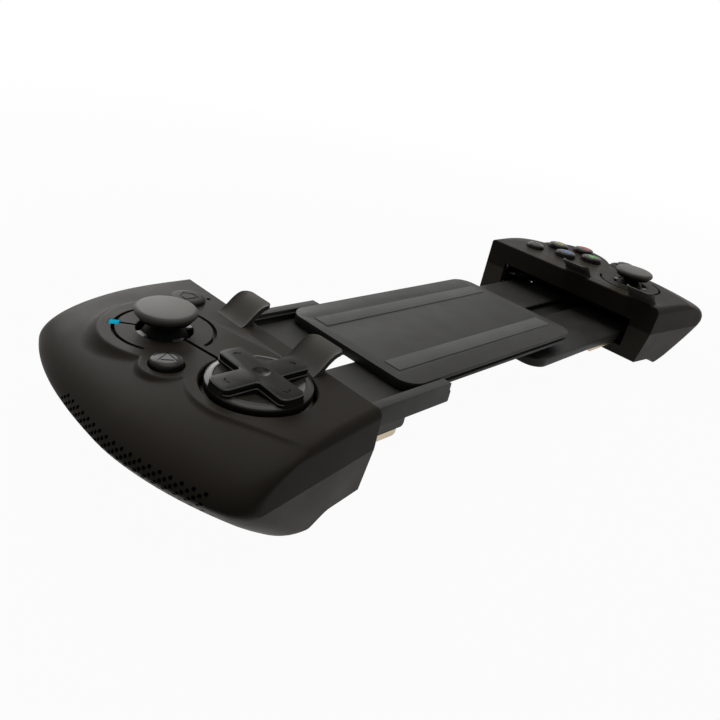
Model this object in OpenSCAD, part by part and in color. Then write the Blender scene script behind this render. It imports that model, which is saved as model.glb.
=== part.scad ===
// A game controller that clamps a phone: two hand grips joined by a telescopic bridge.
// Millimetres. X runs from the left grip to the right grip, Y away from the player, Z up.
// The origin lies on the table, under the middle of the pad as it is opened for a phone.
// Each grip is drawn once, with x counted outwards from its inner face, and then placed.

/* [Opening] */
// Gap between the inner faces of the two grips, as opened for a phone
grip_gap = 155.4; // [154:0.2:157]

/* [Grip shells] */
// Inner face to the outermost point of a grip
grip_w = 52.3; // [51.6:0.1:53.4]
// Edge of the bridge's tongue to the far end face of a grip
far_room = 9.9; // [9.5:0.1:10.9]
// Edge of the bridge's tongue to the near end of a grip, at the inner face
near_room = 9.9; // [9.5:0.1:10.9]
// Slant of the near end face, in degrees
near_slant = 8; // [6:0.5:9]
// Draft of the near end face below the seam, in degrees
near_draft = 8; // [5:0.5:9]
// Height of the control deck above the table
deck_h = 26.5; // [26.3:0.1:27.5]
// Depth of the widest line of the shell below the deck
wide_drop = 8.8; // [8.4:0.1:9.2]
// Depth of the seam between the front and rear covers below the deck
seam_drop = 10.5; // [10.3:0.1:10.7]
// Width of the rounded shoulder, from the deck's flat to the widest line
shoulder_w = 26.1; // [25.4:0.1:26.8]
// How far the hull draws in from the widest line to the table
hull_in = 19.3; // [18:0.1:20]
// Height of the raised inner floor under each grip
floor_lift = 3; // [2.5:0.1:3.4]
// Wall of the covers
wall = 2; // [1.8:0.05:2.1]
// Thickness of the control deck
deck_t = 2.2; // [2:0.05:2.3]
// Rounding of the near end's top edge
edge_r = 2.5; // [2:0.1:3]
// Size of the rounded near outer corner
near_corner = 4.4; // [3.6:0.2:5.6]
// Size of the rounded far outer corner
far_corner = 4.5; // [4:0.1:6]

/* [Clips] */
// Width of a phone clip
clip_w = 10.6; // [9:0.2:11]
// Reach of a clip past the inner face
clip_reach = 4.2; // [3.5:0.1:4.6]
// Height of a clip's tip above the deck
clip_lift = 4.9; // [4.4:0.1:5.4]
// Thickness of a clip's tip
clip_t = 1.1; // [1:0.05:1.3]

/* [Controls] */
// Thumbstick's place on the left grip, outwards from the inner face
stick_u = 23.3; // [23:0.1:23.8]
// Thumbstick's place on the left grip, away from the player
stick_y = 13.3; // [13:0.1:13.8]
// Direction pad's place, outwards from the inner face
pad_u = 18.5; // [18.2:0.1:18.8]
// Direction pad's place, towards the player
pad_y = -18.1; // [-18.4:0.1:-17.9]
// Small round button's place, outwards from the inner face
small_u = 32.1; // [31.9:0.1:32.4]
// Small round button's place, towards the player
small_y = -2.2; // [-2.4:0.1:-1.9]
// Home button's place, outwards from the inner face
home_u = 8.8; // [8.6:0.1:9.2]
// Home button's place, away from the player
home_y = 26.3; // [26:0.1:26.5]
// Radius of the raised round stick platform
stick_plat_r = 16.4; // [16:0.1:16.8]
// Radius of the raised round direction pad platform
pad_plat_r = 15.8; // [15.4:0.1:16]
// Radius of the raised island round the small button
island_r = 6; // [5.8:0.1:6.4]
// Gap round the direction pad in its well
well_gap = 1.1; // [0.9:0.05:1.3]
// Radius of the direction pad's disc
pad_r = 12.2; // [11.8:0.1:12.5]
// Width of an arm of the direction pad
arm_w = 6.6; // [6:0.1:7.2]
// Height of the direction pad's cross above the deck
pad_top = 3.1; // [2.8:0.1:3.4]
// Radius of a thumbstick's cap
cap_r = 7.5; // [7.2:0.1:7.8]
// Height of a thumbstick's cap above the deck
cap_top = 6.2; // [5.9:0.1:6.6]
// Start button's place on the right grip, outwards from the inner face
start_u = 39.4; // [39:0.1:39.8]
// Start button's place on the right grip, towards the player
start_y = -6; // [-6.4:0.1:-5.6]
// Menu button's place on the right grip, outwards from the inner face
menu_u = 13.8; // [13.4:0.1:14.2]
// Menu button's place on the right grip, away from the player
menu_y = 25.9; // [25.5:0.1:26.2]
// Middle of the four face buttons, outwards from the inner face
diamond_u = 27.4; // [27:0.1:27.6]
// Middle of the four face buttons, away from the player
diamond_y = 13.5; // [13.2:0.1:13.8]
// Radius of a small round button
button_r = 3.7; // [3.5:0.05:3.8]
// Radius of a face button
face_r = 4.3; // [4.1:0.05:4.4]
// Radius of the home button
home_r = 4.7; // [4.5:0.05:4.8]
// Radius on which the four face buttons stand
diamond_r = 8.4; // [8.3:0.1:8.6]
// Travel of a face button
button_travel = 1; // [0.8:0.05:1.1]

/* [Bridge] */
// Half the width of the centre plate
plate_half = 26; // [25.4:0.1:26.2]
// Length of the centre plate
plate_len = 90; // [88:0.5:92]
// Left end of the centre plate, as opened
plate_left = -50; // [-51:0.5:-49]
// Length of the left tongue past the left inner face
tongue_reach = 43.2; // [42.6:0.1:43.8]
// Length of the right slider
slider_len = 74; // [73:0.5:75]
// Left end of the right slider, as opened
slider_left = 17; // [16.5:0.1:17.5]
// Running gap between the sliding plates
run_gap = 0.3; // [0.25:0.01:0.35]
// Length of a steel runner past its grip
runner_reach = 21; // [20:0.5:22]

/* [Shoulder buttons] */
// Reach of a bumper past the far end face
bumper_reach = 2.4; // [2:0.1:3]
// Reach of a trigger past the far end face
trigger_reach = 5; // [4.4:0.1:5.4]
// Width of the bumper and of the trigger
trigger_w = 14; // [13:0.2:14.2]

/* [Fits] */
// Gap round a button in its hole
button_gap = 0.3; // [0.25:0.01:0.4]
// Radial gap of a pin in its bore
pin_gap = 0.05; // [0.03:0.01:0.08]
// Radius of the screw shafts
screw_r = 1; // [0.9:0.02:1.05]

/* [Hidden] */
$fn = 48;
EPS = 0.01;
wide_z = deck_h - wide_drop;
seam_z = deck_h - seam_drop;
bow_y = -9.4;
bow_far = 71.2;
bow_near = 67.8;
bow_far_n = 2.39;
bow_near_n = 1.72;
hull_n = 1.25;
hull_edge_r = 3;
deck_min_u = 5;
curve_steps = 20;
front_steps = 9;
rear_steps = 8;

// Depths below the deck: slot through the inner face, circuit board and the stack of sliding plates
slot_drop = 8;
slot_top = deck_h - slot_drop;
board_t = 1;
board_drop = 6.7;
board_top = deck_h - board_drop;
board_z = board_top - board_t;
slot_gap = 0.5;
runner_t = 1.2;
under_gap = 1.6;
floor_top = floor_lift + wall;
slot_z = floor_top + under_gap;
plate_top = slot_top - slot_gap;
plate_t = (plate_top - slot_z - runner_t - run_gap * 4) / 3;
plate_z = plate_top - plate_t;
tongue_top = plate_z - run_gap;
tongue_z = tongue_top - plate_t;
slider_top = tongue_z - run_gap;
slider_z = slider_top - plate_t;
runner_h = 1.9;
skirt_h = 2.8;
skirt_reach = 23.7;
strip_r = 1.2;
lip_w = 3.2;
tongue_half = plate_half + run_gap + lip_w;
grip_far = tongue_half + far_room;
grip_near = tongue_half + near_room;
slider_half = plate_half + 1.5;
slot_half = tongue_half + 0.7;
runner_y = slider_half + run_gap;
runner_w = tongue_half - runner_y - 0.2;
under_runner_w = 4;
under_runner_y = slider_half - under_runner_w;
tongue_root = 33;
plate_corner = 6;
tongue_corner = 2;
keel_half = 4;
keel_head_half = 6.5;
keel_len = 40;
keel_head_t = plate_t / 3;
keel_z = slider_z + plate_t * 0.37;
pad_strip_y = 15;
pad_strip_w = 6;
pad_strip_t = 0.4;
pad_strip_proud = 0.2;
pad_strip_end = 4;

// Screws of a grip: place outwards, place along Y, underside of the head, top of the front boss
near_boss_drop = 1.8;
far_boss_drop = 2.6;
side_boss_drop = 4.5;
near_seat = 1;
far_seat = 8;
side_seat = 4.5;
side_u = 42;
side_y = 24;
side_screw = [seam_z - side_seat, deck_h - side_boss_drop];
near_screw = 5.2;
far_screw = 7;
screw_spots = [[5, near_screw - grip_near, floor_lift + near_seat, deck_h - near_boss_drop],
    [31.5, grip_far - far_screw, seam_z - far_seat, deck_h - far_boss_drop],
    [side_u, -side_y, side_screw[0], side_screw[1]], [side_u, side_y, side_screw[0], side_screw[1]]];
boss_r = 2.6;
screw_head_r = 1.9;
screw_head_t = 1.5;
screw_tip_drop = 5.8;
screw_tip = deck_h - screw_tip_drop;
screw_end_gap = 0.3;
head_gap = 0.2;
boss_foot = 2;

// Pegs of the front cover that hold the board down
peg_spots = [[37, 23], [37, -16], [6, 12], [4.4, -3]];
peg_r = 1.3;
peg_top = deck_h - deck_t + 0.4;

// Thumbstick: two pairs of pins cross at the pivot under a round dome
pivot_z = deck_h - 4;
dome_r = 6.3;
dome_t = 0.9;
dome_skirt = 1.7;
dome_hole_r = dome_r + 0.25;
stem_r = 1.2;
yoke_in = 2.1;
yoke_out = 3.3;
yoke_t = 1.5;
stick_pin_r = 0.45;
post_in = 3.65;
post_out = 4.65;
post_w = 1.8;
base_w = 12.5;
base_t = 0.8;
collar_r = 6.4;
collar_z = pivot_z + dome_r + 0.05;
stem_low = 0.9;
pin_short = 0.2;
cap_lip = 1.5;
cap_edge = 0.5;
collar_edge = 1.2;
stem_high = collar_z + 2.2;

// Direction pad: rocks on a spider of two crossed pins
well_r = pad_r + well_gap;
well_floor = deck_h - 3.4;
well_t = 1.2;
rock_z = deck_h - 2;
disc_z = deck_h - 1.5;
disc_rim = deck_h + 1.4;
spider_r = 1.3;
lug_in = 1.75;
lug_out = 2.9;
lug_w = 1.6;
rock_pin_r = 0.5;
pad_pocket_r = 3.6;
dome_post_r = 1.7;
dome_ring_r = 8;
pad_dip = 1.35;
membrane_t = 0.6;

// Buttons hang by a flange under the deck
flange_t = 0.8;
flange_out = 0.7;
crown_h = 0.7;
crown_w = 1.4;
flange_top = deck_h - deck_t - 0.3;
face_top = deck_h + 2;
small_top = deck_h + 1.6;
home_top = deck_h + 1.2;
dish_r = 7.3;
dish_depth = 0.6;
dish_slope = 1.5;
dome_clear = 0.3;
face_angles = [90, 0, 180, 270];

// Shoulder controls in the far end
trigger_u = 11.6;
bumper_drop = 4.4;
bumper_h = 4.6;
bumper_top = deck_h - bumper_drop;
bumper_z = bumper_top - bumper_h;
trigger_gap = 3.2;
ear_t = 1.2;
ear_gap = 0.2;
ear_lift = 1.9;
trigger_top = bumper_z - trigger_gap;
trigger_z = floor_top + ear_lift + ear_t + ear_gap;
hinge_u = trigger_u - 0.7;
hinge_r = 1.9;
hinge_y = grip_far - wall - hinge_r - button_gap;
hinge_pin_r = 1;
trigger_back = 0.7;
trigger_edge = 1;
ear_low = trigger_z - ear_gap - ear_t;
hinge_len = trigger_top - trigger_z + ear_gap * 2 + ear_t * 2;
swing_gap = 0.8;
bumper_flange_t = 1.5;
bumper_flange_out = 0.6;
bumper_back = grip_far - wall - button_gap;
switch_u = 18;
switch_w = 6;
switch_t = 2.6;
switch_y = hinge_y - 4.6;
switch_rib = 2;
switch_lift = 1;
switch_gap = 0.3;
switch_len = 4.3;
switch_seat = 1.5;
switch_far = bumper_back - bumper_flange_t - button_travel - switch_gap;

// Battery in the outer flank and charging socket beside the bumper
battery_u = 42.3;
battery_size = [3.3, 24, 5.6];
battery_drop = 12.6;
battery_z = deck_h - battery_drop;
charge_u = 6.5;
charge_w = 7.4;
charge_t = 2.8;
charge_len = 7;
charge_wall = 0.4;
charge_back = 2;
charge_gap = 0.1;

// Clips start at these places along Y; the two sides pass beside each other when the pad closes
left_clips = [-21.2, 6.7];
right_clips = [-35.3, -7];

// Arcs of the ring grooves, in degrees, and the light between two of them
left_arcs = [[-37, 36], [43, 251]];
right_arcs = [[105, 335]];
light_angle = 140;
ring_r = 12;
ring_w = 0.8;
ring_depth = 0.6;
light_w = 2.6;
light_len = 3.2;
light_gap = 0.1;

// Places what is drawn outwards from an inner face on the right or the left grip
module on_right() {
    translate([grip_gap / 2, 0, 0]) children();
}

module on_left() {
    translate([-grip_gap / 2, 0, 0]) mirror([1, 0, 0]) children();
}

// How far the shell's outline is drawn in at height z, for a skin that lies w inside the outer one
function skin_top(w) = deck_h - (w > 0 ? deck_t : 0);
function rise(z, w) = min(1, (z - wide_z) / (skin_top(w) - wide_z));
function foot(z) = z < hull_edge_r ? hull_edge_r - sqrt(pow(hull_edge_r, 2) - pow(hull_edge_r - z, 2)) : 0;
function drawn_in(z, w) = w + (z >= wide_z ? shoulder_w * (1 - sqrt(1 - pow(rise(z, w), 2)))
    : hull_in * pow((wide_z - z) / wide_z, hull_n)) + (w > 0 ? 0 : foot(max(z, 0)));

// Bow of the outer wall, as the distance from the inner face at y
function bow_n(y) = y > bow_y ? bow_far_n : bow_near_n;
function bow_reach(y, d) = (y > bow_y ? bow_far : bow_near) - d;
function bow_part(y, d) = min(1, abs(y - bow_y) / bow_reach(y, d));
function bow(y, d) = max(deck_min_u, (grip_w - d) * pow(1 - pow(bow_part(y, d), bow_n(y)), 1 / bow_n(y)));

// Near end: slanted in plan, drafted below the seam and rounded at its top edge
function draft(z) = max(0, seam_z - z) * tan(near_draft);
function round_over(z, w) = w > 0 || z < deck_h - edge_r ? 0
    : edge_r - sqrt(max(0, pow(edge_r, 2) - pow(z - deck_h + edge_r, 2)));
function near_end(u, z, w) = draft(z) + round_over(z, w) - (grip_near - w) - u * tan(near_slant);
function corner_y(z, w, d, n = 5) = n == 0 ? -grip_near : near_end(bow(corner_y(z, w, d, n - 1), d), z, w);
function bend(a, c, b, t) = (1 - t) * (1 - t) * a + 2 * t * (1 - t) * c + t * t * b;

function outline(z, w) =
    let (d = drawn_in(z, w))
    let (near = [bow(corner_y(z, w, d), d), corner_y(z, w, d)])
    let (near_trim = max(1, near_corner - w))
    let (near_a = near + near_trim * [-cos(near_slant), sin(near_slant)])
    let (start_y = near[1] + near_trim)
    let (far_y = grip_far - w, far_u = bow(far_y, d))
    let (trim = min(far_corner - w, far_u / 2), end_y = far_y - trim)
    concat([[w, near_end(w, z, w)]],
        [for (t = [0 : 0.25 : 1]) bend(near_a, near, [bow(start_y, d), start_y], t)],
        [for (i = [1 : curve_steps - 1])
            let (y = start_y + (end_y - start_y) * i / curve_steps) [bow(y, d), y]],
        [for (t = [0 : 0.25 : 1]) bend([bow(end_y, d), end_y], [far_u, far_y], [far_u - trim, far_y], t)],
        [[w, far_y]]);

// Solid lofted through the outlines at the given heights
module loft(levels, w) {
    rings = [for (z = levels) [for (p = outline(z, w)) [p[0], p[1], z]]];
    n = len(rings[0]);
    last = len(levels) - 1;
    sides = [for (i = [0 : last - 1], j = [0 : n - 1]) let (k = (j + 1) % n)
        each [[i * n + j, (i + 1) * n + j, (i + 1) * n + k], [i * n + j, (i + 1) * n + k, i * n + k]]];
    caps = [[for (j = [0 : n - 1]) j], [for (j = [n - 1 : -1 : 0]) last * n + j]];
    polyhedron([for (ring = rings) each ring], concat(sides, caps));
}

function front_levels(base, w) = concat([base],
    [for (i = [0 : front_steps]) wide_z + (skin_top(w) - wide_z) * sin(90 * i / front_steps)]);
function rear_levels(base, top) = concat([base],
    [for (i = [1 : rear_steps - 1]) base + (top - base) * pow(i / rear_steps, 1.6)], [top]);

// Prism under the grip's inner half that leaves the raised inner floor
step_in = 10.5;
step_out = 18.5;
step_over = 8;
module floor_step(lift) {
    top = floor_lift + lift;
    curve = [for (s = [0 : 0.125 : 1]) [step_in + lift / 2 + (step_out - step_in) * s,
        lift + floor_lift * (1 + cos(180 * s)) / 2]];
    translate([0, grip_far + 1, 0]) rotate([90, 0, 0]) linear_extrude(grip_far + grip_near + step_over)
        polygon(concat([[-1, -1], [-1, top]], curve, [[step_out + lift / 2, -1]]));
}

// A clip rises in an S over the edge of the phone, with rounded tip corners
clip_root = 5.5;
clip_foot = 1.5;
clip_corner = 2;
clip_swell = 1.2;
function clip_z(s) = clip_lift * (1 - cos(180 * pow(s, 0.85))) / 2;
function clip_x(s) = clip_root - (clip_root + clip_reach) * s;
function clip_thick(s) = clip_t * (1 + clip_swell * (1 - s));
module clip(y) {
    top = [for (s = [0 : 0.1 : 1]) [clip_x(s), deck_h + clip_z(s)]];
    under = [for (s = [1 : -0.1 : 0.55]) [clip_x(s), deck_h + clip_z(s) - clip_thick(s)]];
    intersection() {
        translate([0, y + clip_w, 0]) rotate([90, 0, 0]) linear_extrude(clip_w)
            polygon(concat(top, under,
                [[0, deck_h], [0, deck_h - clip_foot], [clip_root, deck_h - clip_foot]]));
        translate([0, y, deck_h - 2]) linear_extrude(clip_lift + 3) {
            translate([clip_corner - clip_reach, 0]) square([clip_root + clip_reach, clip_w]);
            translate([-clip_reach, clip_corner]) square([clip_corner * 2, clip_w - clip_corner * 2]);
            for (c = [clip_corner, clip_w - clip_corner])
                translate([clip_corner - clip_reach, c]) circle(clip_corner);
        }
    }
}

module at(u, y, z) {
    translate([u, y, z]) children();
}

// Front cover without its holes: rounded shell, raised platforms, bosses and board pegs
plat_t = 3;
tail_angle = -26.4;
tail_len = 16.2;
tail_from = [pad_u, pad_y] + pad_plat_r * [cos(tail_angle), sin(tail_angle)];
tail_to = tail_from + tail_len * [sin(tail_angle), -cos(tail_angle)];
module front_shell(round_spot, isle_spot) {
    difference() {
        union() {
            loft(front_levels(seam_z, 0), 0);
            at(round_spot[0], round_spot[1], deck_h - plat_t) cylinder(r = stick_plat_r, h = plat_t);
            at(pad_u, pad_y, deck_h - plat_t) cylinder(r = pad_plat_r, h = plat_t);
            at(isle_spot[0], isle_spot[1], deck_h - plat_t) cylinder(r = island_r, h = plat_t);
            at(0, 0, deck_h - plat_t) linear_extrude(plat_t)
                polygon([[pad_u, pad_y], tail_from, tail_to, [pad_u, tail_to[1]]]);
        }
        loft(front_levels(seam_z - 1, wall), wall);
        at(-1, -slot_half, seam_z - 1) cube([wall + 2, slot_half * 2, slot_top - seam_z + 1]);
    }
    for (s = screw_spots) at(s[0], s[1], seam_z) difference() {
        cylinder(r = boss_r, h = s[3] - seam_z);
        at(0, 0, -1) cylinder(r = screw_r + pin_gap, h = screw_tip + screw_end_gap - seam_z + 1);
    }
    for (p = peg_spots) at(p[0], p[1], board_top) cylinder(r = peg_r, h = peg_top - board_top);
}

hole_over = 4;
module button_hole(u, y, r) {
    at(u, y, deck_h - deck_t - hole_over) cylinder(r = r + button_gap, h = deck_t + hole_over * 2);
    at(u, y, deck_h - deck_t - hole_over) cylinder(r = r + flange_out + button_gap, h = hole_over);
}

// Room for the far shoulder bumper
module bumper_window() {
    at(trigger_u - button_gap, grip_far - wall - 2, bumper_z - button_gap)
        cube([trigger_w + button_gap * 2, wall + 4, bumper_top - bumper_z + button_gap * 2]);
}

// Shallow dish round the home button
module dish() {
    at(home_u, home_y, deck_h - dish_depth)
        cylinder(r1 = dish_r - dish_slope, r2 = dish_r, h = dish_depth + EPS);
}

module ring_groove(u, y, from, to) {
    at(u, y, deck_h - ring_depth) rotate([0, 0, from]) rotate_extrude(angle = to - from)
        translate([ring_r - ring_w / 2, 0]) square([ring_w, ring_depth + 1]);
}

module light_place() {
    at(stick_u, stick_y, 0) rotate([0, 0, 180 - light_angle]) at(ring_r, 0, 0) children();
}

// Bearing for one end of the spider's fixed pin, seen from the pivot
module pad_bearing(side) {
    difference() {
        at(side > 0 ? lug_in : -lug_out, -lug_w / 2, well_floor - rock_z)
            cube([lug_out - lug_in, lug_w, rock_z - well_floor + lug_w / 2]);
        rotate([0, 90, 0]) cylinder(r = rock_pin_r + pin_gap, h = lug_out * 3, center = true);
    }
}

module left_front_cover() color("#3a3935") on_left() {
    difference() {
        union() {
            front_shell([stick_u, stick_y], [small_u, small_y]);
            for (y = left_clips) clip(y);
            at(pad_u, pad_y, well_floor - well_t) cylinder(r = well_r + well_t, h = deck_h - well_floor);
        }
        at(pad_u, pad_y, well_floor) cylinder(r = well_r, h = hole_over * 2);
        for (a = [0 : 90 : 270]) at(pad_u, pad_y, well_floor - 2) rotate([0, 0, a])
            at(dome_ring_r, 0, 0) cylinder(r = dome_post_r + button_gap, h = hole_over);
        button_hole(stick_u, stick_y, dome_hole_r);
        button_hole(small_u, small_y, button_r);
        dish();
        button_hole(home_u, home_y, home_r);
        bumper_window();
        for (arc = left_arcs) ring_groove(stick_u, stick_y, arc[0], arc[1]);
        light_place() at(-light_w / 2, -light_w / 2, deck_h - light_len - 1)
            cube([light_w, light_w, light_len + 2]);
        charge_room();
    }
    for (side = [-1, 1]) at(pad_u, pad_y, rock_z) pad_bearing(side);
}

module right_front_cover() color("#3a3935") on_right() difference() {
    union() {
        front_shell([diamond_u, diamond_y], [start_u, start_y]);
        for (y = right_clips) clip(y);
    }
    button_hole(pad_u, pad_y, dome_hole_r);
    button_hole(start_u, start_y, button_r);
    button_hole(menu_u, menu_y, button_r);
    for (a = face_angles) button_hole(face_u(a), face_y(a), face_r);
    bumper_window();
    for (arc = right_arcs) ring_groove(pad_u, pad_y, arc[0], arc[1]);
}

function face_u(a) = diamond_u + diamond_r * cos(a);
function face_y(a) = diamond_y + diamond_r * sin(a);

// Keeps what is added to a rear cover inside its outer skin
module inside_hull() {
    difference() {
        intersection() {
            loft(rear_levels(0, seam_z), 0);
            union() children();
        }
        floor_step(0);
    }
}

// Rear cover: hull with a raised inner floor, screw bosses and trigger bearings
module rear_shell() {
    difference() {
        loft(rear_levels(0, seam_z), 0);
        floor_step(0);
        difference() {
            loft(rear_levels(wall, seam_z + 1), wall);
            floor_step(wall);
        }
        at(-1, -slot_half, slot_z) cube([wall + 2, slot_half * 2, seam_z]);
        at(trigger_u - button_gap, grip_far - wall - 1, trigger_z - button_gap)
            cube([trigger_w + button_gap + swing_gap, wall + 2, trigger_top - trigger_z + button_gap * 2]);
        screw_room();
    }
    difference() {
        inside_hull() for (s = screw_spots)
            at(s[0], s[1], s[2] - boss_foot) cylinder(r = boss_r, h = seam_z - s[2] + boss_foot);
        screw_room();
    }
    for (z = [ear_low, trigger_top + ear_gap]) difference() {
        at(hinge_u - hinge_r, hinge_y - hinge_r, z)
            cube([hinge_r * 2, grip_far - wall / 2 - hinge_y + hinge_r, ear_t]);
        hinge_bore();
    }
    inside_hull() at(switch_u, switch_y, 0) cube([switch_w, switch_rib, trigger_z + switch_lift]);
}

module hinge_bore() {
    at(hinge_u, hinge_y, ear_low - 1) cylinder(r = hinge_pin_r + pin_gap, h = hinge_len + 2);
}

module screw_room() {
    for (s = screw_spots) {
        at(s[0], s[1], -1) cylinder(r = screw_head_r + head_gap, h = s[2] + screw_head_t + 1);
        at(s[0], s[1], 0) cylinder(r = screw_r + head_gap / 2, h = seam_z + 1);
    }
}

// Ribs carry the tongue, and a shelf carries the battery
rib_start = 12;
rib_end = 32;
shelf_w = 6;
shelf_h = 4;
module left_rear_cover() color("#45443f") on_left() {
    rear_shell();
    inside_hull() {
        for (y = [runner_y, -tongue_half]) at(rib_start, y, 0)
            cube([rib_end - rib_start, tongue_half - runner_y, tongue_z]);
        at(battery_u, -shelf_w / 2, battery_z - shelf_h) cube([battery_size[0], shelf_w, shelf_h]);
    }
}

// Two rails guide the slider's steel runners
rail_w = 2;
rail_start = 0.5;
rail_end = 26;
module right_rear_cover() color("#45443f") on_right() {
    rear_shell();
    inside_hull() for (y = [under_runner_y - run_gap - rail_w, -under_runner_y + run_gap])
        at(rail_start, y, 0) cube([rail_end - rail_start, rail_w, slider_z - run_gap]);
}

// Flat bar with rounded corners at its low-x end, or at both ends, from x0 to x1
module round_bar(x0, x1, half, r, both) {
    translate([x0 + r, -half]) square([x1 - x0 - (both ? r * 2 : r), half * 2]);
    for (x = both ? [x0 + r, x1 - r] : [x0 + r]) {
        translate([x - r, r - half]) square([r * 2, half * 2 - r * 2]);
        for (y = [r - half, half - r]) translate([x, y]) circle(r);
    }
}

// Upright strips along both edges of the tongue, from its root to a rounded lower end
runner_in = 10;
module edge_strips(reach, h, z) {
    for (y = [runner_y, -runner_y - runner_w])
        at(0, y + runner_w, z) rotate([90, 0, 0]) linear_extrude(runner_w) {
            translate([strip_r - reach, 0]) square([runner_in + reach - strip_r, h]);
            translate([-reach, strip_r]) square([strip_r * 2, h - strip_r]);
            intersection() {
                translate([strip_r - reach, strip_r]) circle(strip_r);
                translate([-reach, 0]) square([strip_r * 2, h]);
            }
        }
}

// Left tongue: fixed in the left grip, with lips whose ridges guide the centre plate
groove_t = 1;
groove_deep = 1;
groove_z = plate_z + plate_t / 2 - groove_t / 2;
ridge_reach = groove_deep - run_gap;
lip_top = plate_top - 0.2;
lip_start = tongue_corner - tongue_reach;
lip_len = tongue_root - lip_start;
module left_tongue() color("#2b2a28") on_left() difference() {
    union() {
        at(0, 0, tongue_z) linear_extrude(plate_t)
            round_bar(-tongue_reach, tongue_root, tongue_half, tongue_corner, false);
        edge_strips(skirt_reach, skirt_h + plate_t / 2, tongue_z - skirt_h);
        for (side = [0, 1]) mirror([0, side, 0]) {
            at(lip_start, plate_half + run_gap, tongue_z) cube([lip_len, lip_w, lip_top - tongue_z]);
            at(lip_start, plate_half + run_gap - ridge_reach, groove_z + run_gap)
                cube([lip_len, ridge_reach, groove_t - run_gap * 2]);
        }
    }
    at(-tongue_reach - 1, -keel_half - run_gap, tongue_z - 1)
        cube([keel_len + 1, keel_half * 2 + run_gap * 2, plate_t + 2]);
}

// Steel runners: strips under the tongue's skirts
module left_runners() color("#cbbf9f") on_left()
    edge_strips(runner_reach, runner_h, tongue_z - skirt_h - runner_h);

// Centre plate: grooved along both sides, with two inlaid rubber strips on which the phone lies
plate_right = plate_left + plate_len;
module bridge_plate() color("#2f2e2b") difference() {
    at(0, 0, plate_z) linear_extrude(plate_t)
        round_bar(plate_left, plate_right, plate_half, plate_corner, true);
    for (side = [0, 1]) mirror([0, side, 0])
        at(plate_left - 1, plate_half - groove_deep, groove_z)
            cube([plate_len + 2, groove_deep + 1, groove_t]);
    pad_strips(1);
}

module pad_strips(over) {
    low = plate_top - pad_strip_t + pad_strip_proud;
    for (side = [-1, 1]) at(plate_left + pad_strip_end, side * pad_strip_y - pad_strip_w / 2, low)
        cube([plate_len - pad_strip_end * 2, pad_strip_w, pad_strip_t + over]);
}

module bridge_pads() color("#55534d") pad_strips(0);

// Keel under the centre plate: a T that runs in the right slider
module keel_shape(gap) {
    translate([-keel_half - gap, keel_z - gap]) square([keel_half * 2 + gap * 2, plate_z - keel_z + gap]);
    translate([-keel_head_half - gap, keel_z - gap])
        square([keel_head_half * 2 + gap * 2, keel_head_t + gap * 2]);
}

module along_x(x0, x1) {
    at(x0, 0, 0) rotate([90, 0, 90]) linear_extrude(x1 - x0) children();
}

module bridge_keel() color("#2f2e2b") along_x(plate_right - keel_len, plate_right) keel_shape(0);

// Right slider: runs on the keel, and carries the right grip on two steel runners
slider_right = slider_left + slider_len;
module right_slider() color("#2b2a28") difference() {
    at(0, 0, slider_z) linear_extrude(plate_t)
        round_bar(slider_left, slider_right, slider_half, plate_corner, false);
    along_x(slider_left - 1, slider_right + 1) keel_shape(run_gap);
}

module right_runners() color("#cbbf9f") for (y = [under_runner_y, -under_runner_y - under_runner_w])
    at(grip_gap / 2 - runner_reach, y, slider_z - runner_t)
        cube([runner_reach + runner_in, under_runner_w, runner_t]);

// Circuit board with room for the screw bosses
board_in = 3;
board_out = 39;
board_half = switch_far - switch_len + switch_seat;
boss_gap = 0.5;
module board_shape() {
    difference() {
        translate([board_in, -board_half]) square([board_out - board_in, board_half * 2]);
        for (s = screw_spots) translate([s[0], s[1]]) circle(boss_r + boss_gap);
    }
}

module left_board() color("#1f5a37") on_left() at(0, 0, board_z) linear_extrude(board_t) {
    board_shape();
    translate([charge_u - charge_w / 2, board_half - 1]) square([charge_w, grip_far - wall - board_half]);
}

// The right board and its sheet reach out under the start and outer buttons
tab_out = start_u + button_r;
tab_low = start_y - button_r - 1;
tab_high = diamond_y + face_r;
module right_board() color("#1f5a37") on_right() at(0, 0, board_z) linear_extrude(board_t) {
    board_shape();
    translate([board_out - 1, tab_low]) square([tab_out - board_out + 1, tab_high - tab_low]);
}

// Rubber sheet with one dome under each button
dome_low_r = 2.6;
dome_high_r = 1.8;
sheet_w = 33;
sheet_end = 3.5;
tab_edge = 0.5;
sheet_half = board_half - sheet_end;
dome_top = flange_top - flange_t - button_travel - dome_clear;
module membrane_sheet(base_u, base_y) {
    at(0, 0, board_top) linear_extrude(membrane_t) difference() {
        translate([board_in + 0.5, -sheet_half]) square([sheet_w, sheet_half * 2]);
        for (p = peg_spots) translate(p) circle(peg_r + boss_gap);
        translate([base_u, base_y]) square(base_w + boss_gap * 2, center = true);
    }
}

module dome(u, y) {
    at(u, y, board_top) cylinder(r1 = dome_low_r, r2 = dome_high_r, h = dome_top - board_top);
}

module left_membrane() color("#6d6b66") on_left() {
    membrane_sheet(stick_u, stick_y);
    dome(small_u, small_y);
    dome(home_u, home_y);
    for (a = [0 : 90 : 270]) at(pad_u, pad_y, board_top) rotate([0, 0, a])
        at(dome_ring_r, 0, 0) cylinder(r = dome_post_r, h = disc_z - pad_dip - board_top);
}

module right_membrane() color("#6d6b66") on_right() {
    membrane_sheet(pad_u, pad_y);
    at(sheet_w, tab_low + tab_edge, board_top)
        cube([tab_out - tab_edge - sheet_w, tab_high - tab_low - tab_edge * 2, membrane_t]);
    dome(start_u, start_y);
    dome(menu_u, menu_y);
    for (a = face_angles) dome(face_u(a), face_y(a));
}

module battery() color("#3f6f9a") on_left()
    at(battery_u, -battery_size[1] / 2, battery_z) cube(battery_size);

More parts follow.
